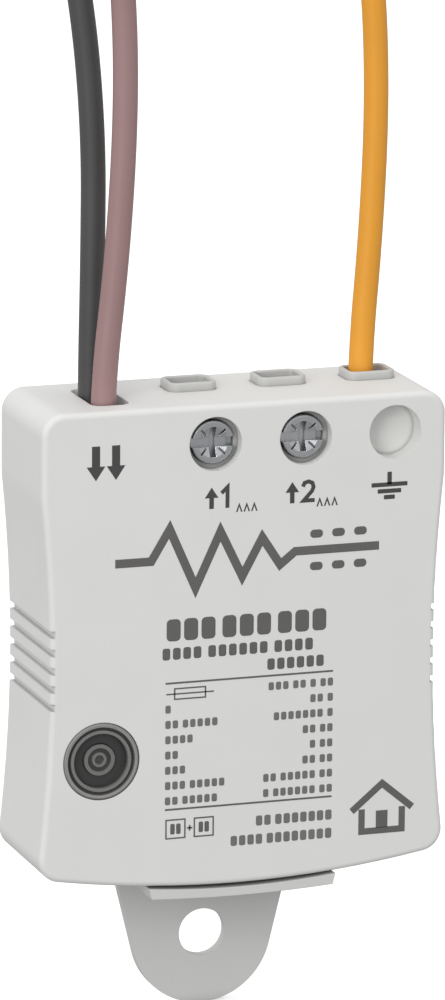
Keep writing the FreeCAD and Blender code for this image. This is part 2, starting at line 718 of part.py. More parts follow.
def make_bottom_flange():
    """Curved flange that runs from the lug to the front, with a thin gap to the housing above."""
    body = new_body("bottom_flange")
    root, tangent = lug_corners()
    draft = (root.x - tangent.x) / (root.y - tangent.y)
    end = Vector(root.x - draft * (root.y - S.flange_end_z.number), S.flange_end_z.number, 0)
    flange = sketch_on(body, "XZ_Plane", S.lug_thick)
    loop(flange, [
        Part.Arc(mirror(root), Vector(0, S.flange_top_z.number, 0), root),
        Part.LineSegment(root, end),
        Part.Arc(end, Vector(0, S.flange_low_z.number, 0), mirror(end)),
        Part.LineSegment(mirror(end), mirror(root)),
    ])
    pad(body, flange, S.depth - S.lug_thick)


def make_rear_base():
    """Back plate inside the walls, with stand-offs for the board and sunk holes for its screws."""
    body = new_body("rear_base")
    plate = sketch_on(body, "XZ_Plane")
    loop(plate, outline(S.wall.number + S.plate_gap.number))
    pad(body, plate, S.plate_thick)

    stands = sketch_on(body, "XZ_Plane", S.plate_thick)
    for x, z in stand_places():
        circle(stands, x, z, S.stand_r)
    pad(body, stands, S.board_back - S.plate_thick)
    taps = sketch_on(body, "XZ_Plane", S.board_back)
    for x, z in stand_places():
        circle(taps, x, z, S.board_screw_r + S.running_fit)
    pocket(body, taps, S.board_back - S.plate_thick + S.tap_deep)

    places = sketch_on(body, "XZ_Plane")
    for x, z in boss_places():
        circle(places, x, z, S.cover_screw_r + S.screw_play)
    doc.recompute()
    before = body.Shape.Volume
    hole = body.newObject("PartDesign::Hole", "sunk_holes")
    hole.Profile = places
    hole.Reversed = True
    hole.DepthType = "ThroughAll"
    hole.HoleCutType = "Countersink"
    hole.HoleCutCountersinkAngle = 90.0
    bind(hole, Diameter=(S.cover_screw_r + S.screw_play) * 2.0,
         HoleCutDiameter=(S.sunk_head_r + S.screw_play) * 2.0)
    doc.recompute()
    if body.Shape.Volume > before - 1.0:
        raise RuntimeError("the countersunk holes cut nothing")


# ---------------------------------------------------------------- terminals

def collar_on(body, x):
    """Thin-walled collar that stands on a block and shows above the housing."""
    ring = sketch_on(body, "XY_Plane", S.block_top_z - S.collar_root)
    loop(ring, rounded_rectangle(x, S.entry_y.number, S.collar_half_x.number,
                                 S.collar_half_y.number, S.collar_r.number))
    pad(body, ring, S.collar_z - S.block_top_z + S.collar_root)


def bore_collar(body, x, floor):
    """Hollow of a collar, down to a floor height."""
    inner = sketch_on(body, "XY_Plane", S.collar_z)
    loop(inner, rounded_rectangle(x, S.entry_y.number,
                                  S.collar_half_x.number - S.collar_wall.number,
                                  S.collar_half_y.number - S.collar_wall.number,
                                  S.collar_r.number - S.collar_wall.number))
    pocket(body, inner, S.collar_z - floor)
    rim = S.collar_z.number
    round_edges(body, S.collar_soft, lambda e: abs(e.BoundBox.ZMin - rim) < SAME)


def make_terminal_block(label, x):
    """Insulating block of one output: collar, cage channel open at the back, screw seat."""
    body = new_body(label)
    base = sketch_on(body, "XY_Plane", S.block_low_z)
    rectangle(base, -S.block_half, S.block_half, -S.block_front, -S.block_back)
    pad(body, base, S.block_top_z - S.block_low_z)
    collar_on(body, 0.0)

    channel = sketch_on(body, "XZ_Plane", S.block_back)
    rectangle(channel, -S.channel_half, S.channel_half, S.channel_low_z, S.channel_top_z)
    pocket(body, channel, S.block_front - S.block_back - S.plate_behind, reverse=True)
    bore_collar(body, 0.0, S.channel_top_z)

    seat = sketch_on(body, "XZ_Plane", S.block_front)
    circle(seat, 0, S.terminal_z, S.screw_head_r + S.seat_play)
    pocket(body, seat, S.block_front - S.screw_seat_y)
    shank = sketch_on(body, "XZ_Plane", S.screw_seat_y)
    circle(shank, 0, S.terminal_z, S.screw_r + S.running_fit)
    pocket(body, shank, S.seat_wall)

    slot = sketch_on(body, "XY_Plane", S.channel_low_z)
    rectangle(slot, -S.bar_half - S.bar_play, S.bar_half + S.bar_play,
              -S.bar_front - S.bar_play, S.bar_thick - S.bar_front + S.bar_play)
    pocket(body, slot, S.channel_low_z - S.block_low_z)
    put(body, x)


def make_contact_bar(label, x):
    """Tinned copper strip: it lies in the cage, turns back below the block and enters the board."""
    back = S.bar_thick - S.bar_front
    face = -S.board_back - S.board_thick
    foot_top = S.bar_foot_z + S.bar_thick
    blade = box(x - S.bar_half, x + S.bar_half, -S.bar_front, back, S.bar_foot_z, S.bar_top_z)
    foot = box(x - S.bar_half, x + S.bar_half, -S.bar_front, face, S.bar_foot_z, foot_top)
    tail = box(x - S.tail_half, x + S.tail_half, face - S.tail_root, -S.pin_end,
               S.bar_foot_z, foot_top)
    node(join(blade, foot, tail), label)


def make_clamp_cage(label, x):
    """Steel cage: the screw pulls it forwards and it presses the wire against the contact bar."""
    low, high = S.terminal_z - S.cage_half_z, S.terminal_z + S.cage_half_z
    shell = box(x - S.cage_half, x + S.cage_half, -S.cage_front, -S.cage_back, low, high)
    hollow = box(x - S.cage_half + S.cage_side, x + S.cage_half - S.cage_side,
                 S.cage_nut - S.cage_front, -S.cage_back - S.cage_floor,
                 low - BEYOND, high + BEYOND)
    thread = rod("+Y", x, -S.cage_front - BEYOND, S.terminal_z, S.screw_r + S.running_fit,
                 S.cage_nut + 2 * BEYOND)

    def outer_upright(edge):
        tall = abs(edge.BoundBox.ZLength - 2 * S.cage_half_z.number) < SAME
        return tall and abs(abs(edge.CenterOfMass.x - x.number) - S.cage_half.number) < SAME

    upright = soften(cut(shell, hollow), S.cage_round.number, outer_upright)
    node(cut(upright, thread), label)


def faceted_dish(x, y, z):
    """Hollow with flat facets that narrows backwards."""
    rings = []
    for radius, back in ((S.dish_r, 0.0), (S.dish_low_r, S.dish_deep)):
        ring = doc.addObject("Part::RegularPolygon", "dish_ring")
        ring.Polygon = DISH_SIDES
        bind(ring, Circumradius=radius)
        rings.append(put(ring, x, y + back, z, ALONG["+Y"]))
    hollow = doc.addObject("Part::Loft", "dish")
    hollow.Sections = rings
    hollow.Solid = True
    hollow.Ruled = True
    return hollow


def slanted_groove(x, y, z, angle):
    """Radial groove in a screw head."""
    thing = doc.addObject("Part::Box", "groove")
    bind(thing, Length=S.tick_far - S.tick_near, Width=S.tick_deep, Height=S.tick_wide)
    turn = Rotation(Vector(0, 1, 0), angle)
    start = turn.multVec(Vector(S.tick_near.number, 0, -S.tick_wide.number / 2))
    return put(thing, x + start.x, y, z + start.z, turn)


def make_clamp_screw(label, x):
    """Terminal screw: a slot, and a star recess with slanted grooves in a faceted dish."""
    z, ahead = S.terminal_z, -S.screw_head_y
    head = rod("+Y", x, ahead, z, S.screw_head_r, S.screw_head_y - S.screw_seat_y)
    head = soften(head, S.head_round.number, lambda e: abs(e.BoundBox.YMax - ahead.number) < SAME)
    shank = rod("+Y", x, -S.screw_seat_y - S.overlap, z, S.screw_r,
                S.screw_seat_y + S.overlap - S.screw_tip_y - S.point_high)
    point = cone("+Y", x, -S.screw_tip_y - S.point_high, z, S.screw_r, S.screw_r - S.point_high,
                 S.point_high)
    wide = S.screw_head_r + SHAVE
    slot = box(x - wide, x + wide, ahead - SHAVE, ahead + S.slot_deep,
               z - S.slot_half, z + S.slot_half)
    notch = box(x + S.notch_near, x + wide, ahead - SHAVE, ahead + S.notch_deep,
                z - S.slot_half, z + S.slot_half)
    upright = box(x - S.arm_half, x + S.arm_half, ahead - SHAVE, ahead + S.arm_deep,
                  z - S.arm_reach, z + S.arm_reach)
    dish = faceted_dish(x, ahead - NUDGE, z)
    slants = [slanted_groove(x, ahead - NUDGE, z, angle) for angle in SLANTS]
    screw = join(head, shank, point)
    for tool in (slot, notch, upright, dish, *slants):
        screw = cut(screw, tool)
    node(screw, label)


def make_earth_entry():
    """Sleeve below the earth collar that guides the earth lead to the board."""
    body = new_body("earth_entry")
    base = sketch_on(body, "XY_Plane", S.sleeve_low_z)
    rectangle(base, -S.sleeve_half, S.sleeve_half, -S.sleeve_front, -S.sleeve_back)
    pad(body, base, S.block_top_z - S.sleeve_low_z)
    collar_on(body, 0.0)
    floor = S.block_top_z - S.sleeve_cup
    bore_collar(body, 0.0, floor)
    hole = sketch_on(body, "XY_Plane", floor)
    circle(hole, S.earth_lead_x - S.earth_x, S.entry_y, S.lead_d * 0.5 + S.running_fit)
    pocket(body, hole, S.block_top_z - S.block_low_z)
    put(body, S.earth_x)


def make_strain_relief():
    """Comb below the supply opening that holds the two supply leads."""
    low, high = S.comb_low_z, S.comb_top_z
    block = box(S.comb_left_x, S.comb_right_x, -S.comb_front, -S.comb_back, low, high)
    grip = S.lead_d * 0.5 + S.running_fit
    holes = [rod("+Z", S.lead_x, y, low - BEYOND, grip, high - low + 2 * BEYOND)
             for y in (S.black_y, S.brown_y)]
    node(cut(block, *holes), "strain_relief")


# ---------------------------------------------------------------- board

def make_varistor(label, side):
    """Coated metal-oxide disc on two wires."""
    x = S.varistor_x * side
    disc = rod("+Y", x, S.varistor_y - S.varistor_thick * 0.5, S.varistor_z, S.varistor_r,
               S.varistor_thick)
    disc = soften(disc, S.varistor_round.number, lambda e: len(e.Vertexes) == 1)
    legs = []
    for shift in (S.varistor_pitch * -0.5, S.varistor_pitch * 0.5):
        legs += leg(x + shift, S.varistor_y, S.varistor_z - S.varistor_r + S.varistor_root,
                    "Z", -1, S.varistor_leg, S.varistor_wire_r)
    node(join(disc, *legs), label)


def make_thermal_fuse(label, side):
    """Axial thermal cut-off that lies against its varistor and opens if the disc overheats."""
    x = S.varistor_x * side
    low = S.varistor_z - S.fuse_long * 0.5
    high = S.varistor_z + S.fuse_long * 0.5
    barrel = rod("+Z", x, S.fuse_y, low, S.fuse_r, S.fuse_long)
    nose = cone("+Z", x, S.fuse_y, high, S.fuse_nose_r, S.fuse_nose_tip_r, S.fuse_nose)
    wires = leg(x, S.fuse_y, high, "Z", 1, S.fuse_leg, S.fuse_wire_r)
    wires += leg(x, S.fuse_y, low, "Z", -1, S.fuse_leg, S.fuse_wire_r)
    node(join(barrel, nose, *wires), label)


def make_gas_tube():
    """Ceramic gas discharge tube with two metal end caps."""
    x, y, z = S.tube_x, S.tube_y, S.tube_z
    shell = rod("+X", x - S.tube_half, y, z, S.tube_r, S.tube_half * 2)
    caps = [rod("+X", start, y, z, S.cap_r, S.cap_thick)
            for start in (x - S.cap_out, x + S.cap_out - S.cap_thick)]
    root = S.cap_out - S.wire_root
    wires = leg(x + root, y, z, "X", 1, S.tube_leg, S.tube_wire_r)
    wires += leg(x - root, y, z, "X", -1, S.tube_leg, S.tube_wire_r)
    node(join(shell, *caps, *wires), "gas_tube")


def make_axial(x, z, radius, length, reach):
    """Small axial part lying along X on the board."""
    y = -S.board_back - S.board_thick - radius - S.axial_lift
    half = length * 0.5
    barrel = rod("+X", x - half, y, z, radius, length)
    wires = leg(x + half - S.wire_root, y, z, "X", 1, reach, S.axial_wire_r)
    wires += leg(x - half + S.wire_root, y, z, "X", -1, reach, S.axial_wire_r)
    return join(barrel, *wires)


def make_small_parts():
    """Two resistors, a diode and a film capacitor."""
    resistors = [make_axial(S.resistor_x, z, S.resistor_r, S.resistor_long, S.resistor_leg)
                 for z in (S.resistor_z, S.resistor_z + S.resistor_pitch)]
    node(group(*resistors), "board_resistors")
    node(make_axial(S.diode_x, S.diode_z, S.diode_r, S.diode_long, S.diode_leg), "board_diode")

    face = -S.board_back - S.board_thick
    case = box(S.film_left_x, S.film_right_x, face - S.film_high, face - S.film_lift,
               S.film_low_z, S.film_top_z)
    case = soften(case, S.film_round.number, lambda e: True)
    middle = (S.film_low_z + S.film_top_z) * 0.5
    pins = []
    for x in (S.film_left_x + S.film_pin_in, S.film_right_x - S.film_pin_in):
        PIN_HOLES.append((x, middle, S.film_pin_r + S.pin_play))
        pins.append(rod("+Y", x, face - S.pin_root, middle, S.film_pin_r,
                        S.pin_root - S.pin_end - face))
    node(join(case, *pins), "film_capacitor")


def make_circuit_board():
    """Board with tongues between the bosses, drilled for everything that stands on it."""
    back, face = -S.board_back, -S.board_back - S.board_thick
    middle = box(-S.board_half, S.board_half, face, back, S.board_low_z, S.board_high_z)
    tongues = box(-S.tongue_half, S.tongue_half, face, back, S.tongue_low_z, S.tongue_high_z)
    holes = PIN_HOLES + [(x, z, S.board_screw_r + S.drill_play) for x, z in stand_places()]
    drills = [rod("+Y", x, face - BEYOND, z, radius, S.board_thick + 2 * BEYOND)
              for x, z, radius in holes]
    tail = S.tail_half + S.tail_play
    for x in (S.line_one_x, S.line_two_x):
        drills.append(box(x - tail, x + tail, face - BEYOND, back + BEYOND,
                          S.bar_foot_z - S.tail_play, S.bar_foot_z + S.bar_thick + S.tail_play))
    node(cut(join(middle, tongues), *drills), "circuit_board")


def make_insulating_sheet():
    """Sheet between the board's solder side and the back plate."""
    back = -S.plate_thick - S.sheet_lift
    node(box(-S.tongue_half, S.tongue_half, back - S.sheet_thick, back,
             S.sheet_low_z, S.sheet_high_z), "insulating_sheet")


# ---------------------------------------------------------------- indicator

def make_indicator():
    """Dark bezel let into the front wall, and a ringed lens with a light guide behind it."""
    for label, points in (("indicator_bezel", BEZEL_OUTLINE), ("indicator_lens", LENS_OUTLINE)):
        body = new_body(label)
        revolve(body, [(radius, deep - S.depth.number) for radius, deep in points])
        put(body, S.lamp_x, 0, S.lamp_z)


def make_indicator_clip():
    """Spring washer that holds the bezel from inside."""
    inner = -S.depth + S.front_wall + S.clip_gap
    washer = rod("+Y", S.lamp_x, inner, S.lamp_z, S.lamp_barrel_r + S.clip_wide, S.clip_thick)
    gap = rod("+Y", S.lamp_x, inner - BEYOND, S.lamp_z, S.lamp_barrel_r - S.clip_bite,
              S.clip_thick + 2 * BEYOND)
    node(cut(washer, gap), "indicator_clip")


def make_status_lamp():
    """Lamp on the board below the light guide."""
    face = -S.board_back - S.board_thick
    dome_y = face - S.lamp_high
    flange = rod("+Y", S.lamp_x, face - S.lamp_lift - S.lamp_flange_thick, S.lamp_z,
                 S.lamp_flange_r, S.lamp_flange_thick)
    stem = rod("+Y", S.lamp_x, dome_y, S.lamp_z, S.lamp_r, S.lamp_stem)
    dome = ball(S.lamp_x, dome_y, S.lamp_z, S.lamp_r)
    pins = []
    for shift in (S.lamp_pin_pitch * -0.5, S.lamp_pin_pitch * 0.5):
        PIN_HOLES.append((S.lamp_x + shift, S.lamp_z, S.lamp_pin_r + S.pin_play))
        pins.append(rod("+Y", S.lamp_x + shift, face - S.pin_root * 0.5, S.lamp_z, S.lamp_pin_r,
                        S.pin_root * 0.5 - S.pin_end - face))
    node(join(flange, stem, dome, *pins), "status_lamp")


# ---------------------------------------------------------------- fasteners

def cross_recess(x, z, long, y0, y1):
    """Two boxes that cut a cross into a screw head."""
    half, narrow = long * 0.5, S.cross_wide * 0.5
    return [
        box(x - half, x + half, y0, y1, z - narrow, z + narrow),
        box(x - narrow, x + narrow, y0, y1, z - half, z + half),
    ]


def make_cover_screws():
    """Countersunk screws that hold the base to the cover."""
    screws = []
    cone_high = S.sunk_head_r - S.cover_screw_r
    head_y = -cone_high - S.sunk_below
    tip_y = -S.cover_screw_long - S.sunk_below - S.overlap
    for x, z in boss_places():
        shank_y = tip_y + S.point_long
        shank = rod("+Y", x, shank_y, z, S.cover_screw_r, -S.overlap - S.sunk_below - shank_y)
        point = cone("+Y", x, tip_y, z, S.point_r, S.cover_screw_r, S.point_long)
        head = cone("+Y", x, head_y, z, S.cover_screw_r, S.sunk_head_r, cone_high)
        recess = cross_recess(x, z, S.cross_long, -S.cross_deep, SHAVE)
        screws.append(cut(join(shank, point, head), *recess))
    node(group(*screws), "cover_screws")


def make_board_screws():
    """Pan-head screws that hold the board to the base."""
    screws = []
    face = -S.board_back - S.board_thick
    top = face - S.pan_high
    for x, z in stand_places():
        head = rod("+Y", x, top, z, S.pan_r, S.pan_high)
        shank = rod("+Y", x, face - S.overlap * 0.5, z, S.board_screw_r, S.pan_long)
        recess = cross_recess(x, z, S.pan_cross_long, top - SHAVE, top + S.pan_cross_deep)
        screws.append(cut(join(head, shank), *recess))
    node(group(*screws), "board_screws")


# ---------------------------------------------------------------- leads

# Each route starts inside the housing, where the insulation ends, and rises past the top.
LEAD_ROUTES = {
    "black": [(-16.5, -6.9, 60.2), (-16.5, -6.9, 71.5), (-16.2, -6.9, 86.5), (-16.1, -6.8, 102.0),
              (-17.6, -6.5, 118.5), (-21.3, -5.8, 137.0), (-27.0, -4.8, 154.5),
              (-32.6, -3.8, 167.5)],
    "brown": [(-16.5, -11.5, 60.2), (-16.5, -11.5, 71.0), (-14.6, -11.5, 87.5),
              (-13.6, -11.5, 104.0), (-13.85, -11.6, 118.0), (-15.6, -11.9, 135.0),
              (-19.0, -12.4, 152.0), (-23.4, -13.0, 166.5)],
    "earth": [(18.05, -6.15, 60.2), (18.05, -6.15, 72.0), (19.35, -6.15, 88.0),
              (19.95, -6.1, 104.0), (19.3, -6.0, 119.0), (16.9, -5.6, 136.0),
              (13.0, -5.1, 152.0), (8.2, -4.5, 166.0)],
}
CORE_BENDS = {"black": (57.0, 1.3), "brown": (53.5, 1.6), "earth": (53.3, 1.6)}  # board height, bend


def bent_path(points):
    """Straight runs joined by tangent arcs, each arc as large as its two runs allow."""
    corners = [Vector(*p) for p in points]
    edges = []
    radii = []
    last = corners[0]
    for before, here, after in zip(corners, corners[1:], corners[2:]):
        back, ahead = before - here, after - here
        reach = 0.45 * min(back.Length, ahead.Length)
        turn = math.pi - back.getAngle(ahead)
        radius = reach / math.tan(turn / 2)
        back.normalize()
        ahead.normalize()
        start, end = here + back * reach, here + ahead * reach
        middle = (back + ahead).normalize()
        centre_gap = math.hypot(radius, reach)
        edges.append(Part.LineSegment(last, start).toShape())
        edges.append(Part.Arc(start, here + middle * (centre_gap - radius), end).toShape())
        radii.append(radius)
        last = end
    edges.append(Part.LineSegment(last, corners[-1]).toShape())
    return Part.Wire(edges), radii


def tube_along(path, radius):
    """Round bar swept along a wire."""
    start = path.Edges[0]
    ahead = start.tangentAt(start.FirstParameter)
    ring = Part.Wire(Part.makeCircle(radius, start.valueAt(start.FirstParameter), ahead))
    return path.makePipeShell([ring], True, False)


def solid_piece(label, shape):
    thing = doc.addObject("Part::Feature", label)
    thing.Shape = shape
    thing.Placement = Placement()
    return node(thing, label)


def make_lead(colour):
    """Insulated lead, its core inside the housing and its stripped far end."""
    points = LEAD_ROUTES[colour]
    path, radii = bent_path(points)
    radius = S.lead_d.number / 2
    tube = tube_along(path, radius)
    expected = math.pi * radius ** 2 * path.Length
    print("lead %s: length %.1f mm, radii %s mm, volume %.1f of %.1f mm3" % (
        colour, path.Length, ", ".join("%.0f" % r for r in radii), tube.Volume, expected))
    if abs(tube.Volume - expected) > 0.01 * expected:
        raise RuntimeError("the %s lead's tube is wrong" % colour)
    solid_piece("lead_" + colour, tube)

    core_r = S.core_d.number / 2
    start = Vector(*points[0])
    board_z, bend = CORE_BENDS[colour]
    over = Vector(start.x, start.y, board_z + bend)
    down = Vector(start.x, start.y + bend, board_z)
    slant = bend * (1 - DIAGONAL)
    knee = Vector(start.x, start.y + slant, board_z + slant)
    inner = Part.Wire([
        Part.LineSegment(start, over).toShape(),
        Part.Arc(over, knee, down).toShape(),
        Part.LineSegment(down, Vector(start.x, -S.pin_end.number, board_z)).toShape(),
    ])
    solid_piece("core_inner_" + colour, tube_along(inner, core_r))
    PIN_HOLES.append((Size.of(start.x), Size.of(board_z), S.core_d * 0.5 + S.pin_play))

    end, before = Vector(*points[-1]), Vector(*points[-2])
    tip = Part.makeCylinder(core_r, S.tip_long.number, end, end - before)
    solid_piece("core_outer_" + colour, tip)


# ---------------------------------------------------------------- build and write

def build():
    make_front_cover()
    make_rear_base()
    make_mounting_lug()
    make_bottom_flange()
    for number, x in (("1", S.line_one_x), ("2", S.line_two_x)):
        make_terminal_block("terminal_block_" + number, x)
        make_contact_bar("contact_bar_" + number, x)
        make_clamp_cage("clamp_cage_" + number, x)
        make_clamp_screw("clamp_screw_" + number, x)
    make_earth_entry()
    make_strain_relief()
    for number, side in (("1", -1), ("2", 1)):
        make_varistor("varistor_" + number, side)
        make_thermal_fuse("thermal_fuse_" + number, side)
    make_gas_tube()
    make_small_parts()
    make_indicator()
    make_indicator_clip()
    make_status_lamp()
    for colour in LEAD_ROUTES:
        make_lead(colour)
    make_circuit_board()
    make_insulating_sheet()
    make_cover_screws()
    make_board_screws()
    doc.recompute()


def check_and_write():
    """Refuse a failed feature or a bad shape, then write one STEP file per piece."""
    for thing in doc.Objects:
        if "Invalid" in thing.State or "Error" in thing.State:
            raise RuntimeError("%s failed: %s" % (thing.Name, thing.State))
    os.makedirs("parts", exist_ok=True)
    for thing in NODES:
        shape = thing.Shape
        if shape.isNull() or not shape.isValid() or not shape.Solids:
            raise RuntimeError("%s has no valid solid" % thing.Label)
        shape.exportStep("parts/%s.step" % thing.Label)
        print("%-20s %d solid(s), %.1f mm3" % (thing.Label, len(shape.Solids), shape.Volume))


build()
check_and_write()
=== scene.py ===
import json
import math

import bmesh
import bpy
from mathutils import Matrix, Vector


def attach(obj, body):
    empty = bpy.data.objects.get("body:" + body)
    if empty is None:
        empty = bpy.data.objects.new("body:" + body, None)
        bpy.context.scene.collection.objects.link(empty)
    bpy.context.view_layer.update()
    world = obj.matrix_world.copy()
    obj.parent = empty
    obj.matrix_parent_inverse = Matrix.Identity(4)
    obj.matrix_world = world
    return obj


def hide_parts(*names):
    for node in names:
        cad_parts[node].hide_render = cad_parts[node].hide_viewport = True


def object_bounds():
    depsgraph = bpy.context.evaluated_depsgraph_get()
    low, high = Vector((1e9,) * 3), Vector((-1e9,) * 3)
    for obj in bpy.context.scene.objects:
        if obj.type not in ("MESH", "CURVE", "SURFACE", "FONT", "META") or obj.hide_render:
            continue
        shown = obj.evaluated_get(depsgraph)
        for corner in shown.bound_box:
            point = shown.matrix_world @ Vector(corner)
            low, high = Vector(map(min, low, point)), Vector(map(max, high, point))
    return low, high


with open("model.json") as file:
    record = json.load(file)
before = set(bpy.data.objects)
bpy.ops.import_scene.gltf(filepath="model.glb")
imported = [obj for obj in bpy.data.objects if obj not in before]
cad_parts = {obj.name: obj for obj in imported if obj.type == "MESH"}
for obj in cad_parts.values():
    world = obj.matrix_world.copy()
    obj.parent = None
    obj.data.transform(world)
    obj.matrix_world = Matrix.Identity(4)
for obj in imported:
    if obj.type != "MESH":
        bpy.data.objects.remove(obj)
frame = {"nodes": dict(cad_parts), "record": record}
CAD_LOW, CAD_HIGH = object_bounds()

MM = 0.001
SCENE = bpy.context.scene
COLLECTION = SCENE.collection

# ---------------------------------------------------------------- camera

TARGET = Vector((-2.97, -16.69, 58.34)) * MM
CAMERA_DISTANCE = 0.8202
AZIMUTH, ELEVATION, ROLL = math.radians(18.876), math.radians(13.055), math.radians(0.439)
LENS_MM = 247.3
SENSOR_MM = 36.0


def make_camera():
    """Long lens, a little from the left and above."""
    data = bpy.data.cameras.new("camera")
    data.sensor_fit = "AUTO"
    data.sensor_width = SENSOR_MM
    data.lens = LENS_MM
    data.clip_start, data.clip_end = 0.01, 50.0
    camera = bpy.data.objects.new("camera", data)
    COLLECTION.objects.link(camera)
    back = Vector((-math.sin(AZIMUTH) * math.cos(ELEVATION),
                   -math.cos(AZIMUTH) * math.cos(ELEVATION), math.sin(ELEVATION)))
    turn = back.to_track_quat("Z", "Y").to_matrix().to_4x4()
    place = Matrix.Translation(TARGET + back * CAMERA_DISTANCE)
    camera.matrix_world = place @ turn @ Matrix.Rotation(ROLL, 4, "Z")
    SCENE.camera = camera


make_camera()

# ---------------------------------------------------------------- materials


MIX_FACTOR, MIX_FIRST, MIX_SECOND, MIX_RESULT = 0, 6, 7, 2  # a colour mix node's sockets
FLAT, SHARP = 0.995, 0.85  # how far a rounded normal agrees with the true one
OPEN_AIR, HIDDEN = 0.75, 0.25  # how much of its surroundings a place sees
CLOUD_SIZE = 0.008  # metres across a patch of slightly different colour


class Nodes:
    """Short way to add and join shader nodes."""

    def __init__(self, name):
        self.material = bpy.data.materials.new(name)
        self.material.use_nodes = True
        self.tree = self.material.node_tree
        self.shader = self.tree.nodes["Principled BSDF"]
        self.place = self.add("ShaderNodeTexCoord").outputs["Object"]

    def add(self, kind, **settings):
        made = self.tree.nodes.new(kind)
        for key, value in settings.items():
            setattr(made, key, value)
        return made

    def join(self, source, target):
        self.tree.links.new(source, target)

    def noise(self, size, detail=3.0):
        """Noise whose features are about size metres across."""
        made = self.add("ShaderNodeTexNoise")
        made.inputs["Scale"].default_value = 1.0 / size
        made.inputs["Detail"].default_value = detail
        self.join(self.place, made.inputs["Vector"])
        return made.outputs["Fac"]

    def ranged(self, source, low, high, to_low=0.0, to_high=1.0):
        """Source stretched from low..high to to_low..to_high, and held at the ends."""
        made = self.add("ShaderNodeMapRange")
        for key, value in (("From Min", low), ("From Max", high),
                           ("To Min", to_low), ("To Max", to_high)):
            made.inputs[key].default_value = value
        self.join(source, made.inputs["Value"])
        return made.outputs["Result"]

    def mix(self, factor, first, second, blend="MIX"):
        """Colour mix; the factor is a number or a socket, first and second colours or sockets."""
        made = self.add("ShaderNodeMix", data_type="RGBA", blend_type=blend)
        if isinstance(factor, float):
            made.inputs[MIX_FACTOR].default_value = factor
        else:
            self.join(factor, made.inputs[MIX_FACTOR])
        for index, value in ((MIX_FIRST, first), (MIX_SECOND, second)):
            if isinstance(value, tuple):
                made.inputs[index].default_value = (*value, 1.0)
            else:
                self.join(value, made.inputs[index])
        return made.outputs[MIX_RESULT]

    def edges(self, radius):
        """0 on flat places, 1 on edges sharper than radius, and the rounded normal."""
        bevel = self.add("ShaderNodeBevel", samples=4)
        bevel.inputs["Radius"].default_value = radius
        plain = self.add("ShaderNodeNewGeometry")
        dot = self.add("ShaderNodeVectorMath", operation="DOT_PRODUCT")
        self.join(bevel.outputs["Normal"], dot.inputs[0])
        self.join(plain.outputs["Normal"], dot.inputs[1])
        return self.ranged(dot.outputs["Value"], FLAT, SHARP), bevel.outputs["Normal"]

    def crevices(self, reach):
        """Mask for painted shade: 0 in the open, 1 deep in grooves and corners narrower than
        reach.
        """
        hidden = self.add("ShaderNodeAmbientOcclusion", samples=8)
        hidden.inputs["Distance"].default_value = reach
        return self.ranged(hidden.outputs["AO"], OPEN_AIR, HIDDEN)

    def grain(self, fine, rounded, rough, rough_spread=0.08, bump=0.15, height=0.00001):
        """Fine grain in the roughness and in the relief, over softly rounded edges."""
        self.join(self.ranged(fine, 0.3, 0.7, rough - rough_spread, rough + rough_spread),
                  self.shader.inputs["Roughness"])
        relief = self.add("ShaderNodeBump")
        relief.inputs["Strength"].default_value = bump
        relief.inputs["Distance"].default_value = height
        self.join(fine, relief.inputs["Height"])
        self.join(rounded, relief.inputs["Normal"])
        self.join(relief.outputs["Normal"], self.shader.inputs["Normal"])


def shade(colour, amount):
    """The colour made lighter or darker."""
    return tuple(min(1.0, c * amount) for c in colour)


def make_finish(name, colour, rough, metal=0.0, spread=0.05, grain=0.0003, bump=0.15,
                height=0.00001, edge_highlight=1.12, edge_radius=0.00015, rough_spread=0.08,
                crevice_shade=1.0, crevice_shade_reach=0.001):
    """Moulded, drawn or coated surface: cloudy colour, fine grain, painted highlights on edges,
    painted shade in crevices.
    """
    n = Nodes(name)
    cloud = n.ranged(n.noise(CLOUD_SIZE, 4.0), 0.3, 0.7)
    fine = n.noise(grain, 2.0)
    edge_highlight_mask, rounded = n.edges(edge_radius)
    tone = n.mix(cloud, shade(colour, 1 - spread), shade(colour, 1 + spread))
    speck = n.ranged(fine, 0.35, 0.65, 0.0, 0.35)
    tone = n.mix(speck, tone, shade(colour, 1 - 1.5 * spread))
    # painted highlight: sharp edges made lighter than the surface
    tone = n.mix(edge_highlight_mask, tone, shade(colour, edge_highlight))
    # painted shade: colour darkened in grooves, holes and corners found by ambient occlusion
    if crevice_shade < 1.0:
        tone = n.mix(n.crevices(crevice_shade_reach), tone, shade(colour, crevice_shade))
    n.join(tone, n.shader.inputs["Base Color"])
    n.grain(fine, rounded, rough, rough_spread, bump, height)
    n.shader.inputs["Metallic"].default_value = metal
    return n.material


LAMP_X, LAMP_Z = -18.03, 27.2  # axis of the indicator, mm
LAMP_LIT_AND_SHADED_BANDS = [  # outer radius in mm and lightness: painted highlights on the raised rings, painted shade in the hollows
    (0.54, 0.060), (0.94, 0.185), (1.43, 0.050), (1.95, 0.185), (3.36, 0.045), (3.82, 0.205),
    (4.19, 0.050), (5.00, 0.300),
]
BAND_BLUR = 0.05  # mm to each side over which a band fades into the next
BAND_TINT = (1.0, 0.985, 0.97)  # a little warm
BAND_DUST = 0.35  # how far the cloudy wear shows


